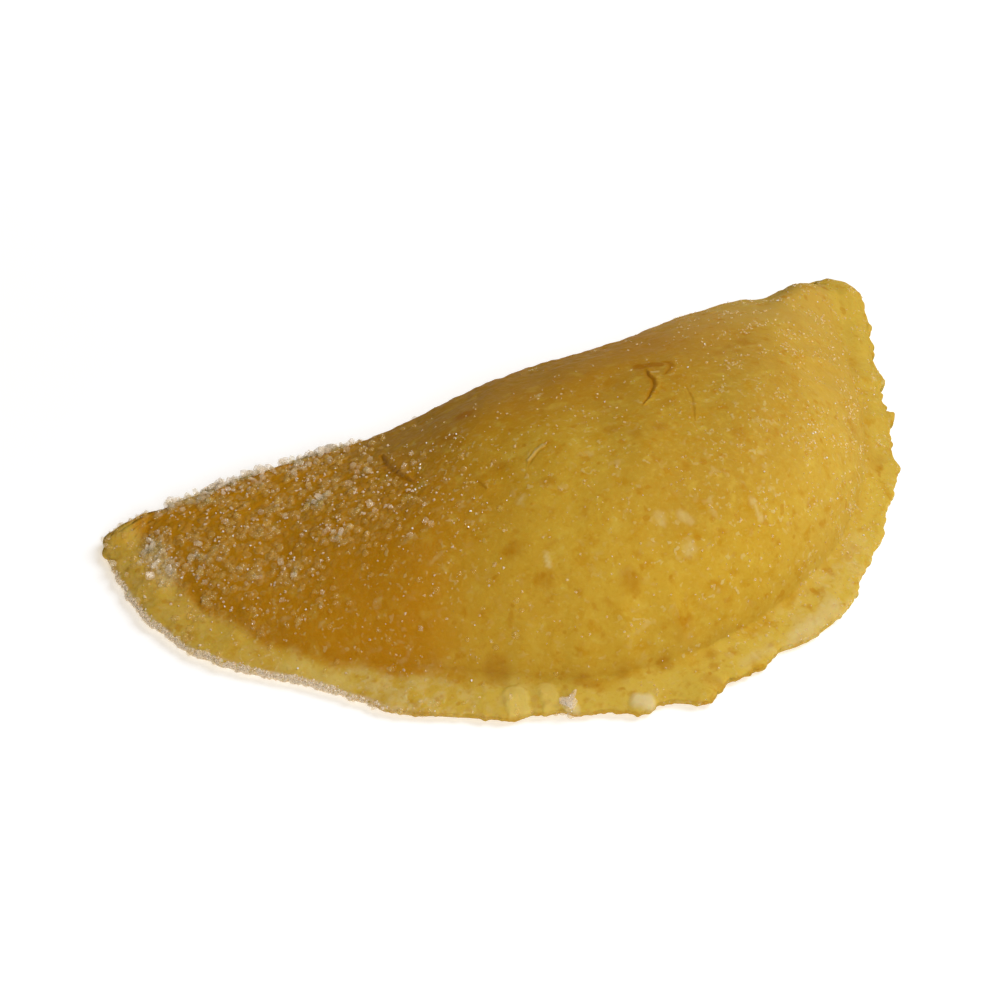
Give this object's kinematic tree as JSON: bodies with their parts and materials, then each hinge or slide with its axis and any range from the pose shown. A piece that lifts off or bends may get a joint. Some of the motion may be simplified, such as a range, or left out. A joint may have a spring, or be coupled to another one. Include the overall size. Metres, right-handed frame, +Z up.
{
  "type": "sweet empanada",
  "caption": "Half-moon turnover of golden yellow dough with a soft dome, a sealed toothed rim and coarse sugar on one end.",
  "frame": {"origin": "middle of the footprint, on the surface that the empanada lies on", "axes": "+X along the fold towards the fuller end, -Y towards the front of the sealed rim, +Z up"},
  "size_m": [0.1216, 0.0654, 0.0208],
  "materials": {
    "dough": "soft golden yellow dough, faintly waxy, browner where it is thin",
    "sugar": "clear to whitish coarse sugar crystals"
  },
  "bodies": {
    "root": {"turnover": "dough"}
  },
  "joints": []
}
